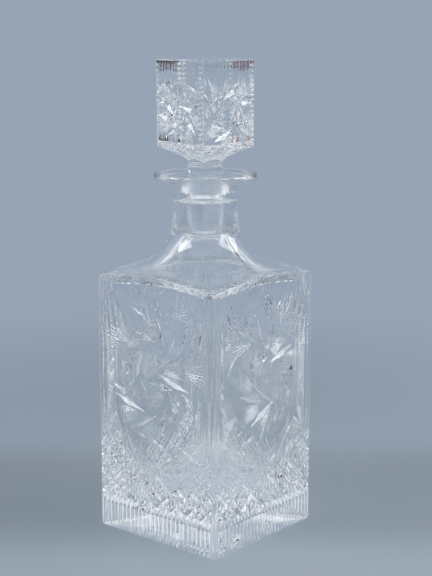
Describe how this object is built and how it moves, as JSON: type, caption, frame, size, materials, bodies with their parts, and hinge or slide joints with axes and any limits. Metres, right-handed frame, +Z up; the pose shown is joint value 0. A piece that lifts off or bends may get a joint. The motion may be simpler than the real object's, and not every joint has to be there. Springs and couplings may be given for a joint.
{
  "type": "cut glass decanter with stopper",
  "caption": "Square clear cut-glass decanter with a flared lip and a tall square block stopper that lifts out of its ground neck.",
  "frame": {"origin": "centre of the flat base, on the surface the decanter stands on", "axes": "+Z up the neck, -Y out of one side face and +X out of the next"},
  "size_m": [0.086, 0.086, 0.2636],
  "materials": {
    "body_crystal": "polished cut crystal",
    "stopper_crystal": "polished cut crystal with a ground peg"
  },
  "bodies": {
    "decanter": {"decanter_body": "body_crystal"},
    "stopper": {"stopper": "stopper_crystal"}
  },
  "joints": [
    {"name": "stopper_lift", "type": "slide", "parent": "decanter", "child": "stopper", "axis": [0, 0, 1], "range_m": [0, 0.08]}
  ]
}
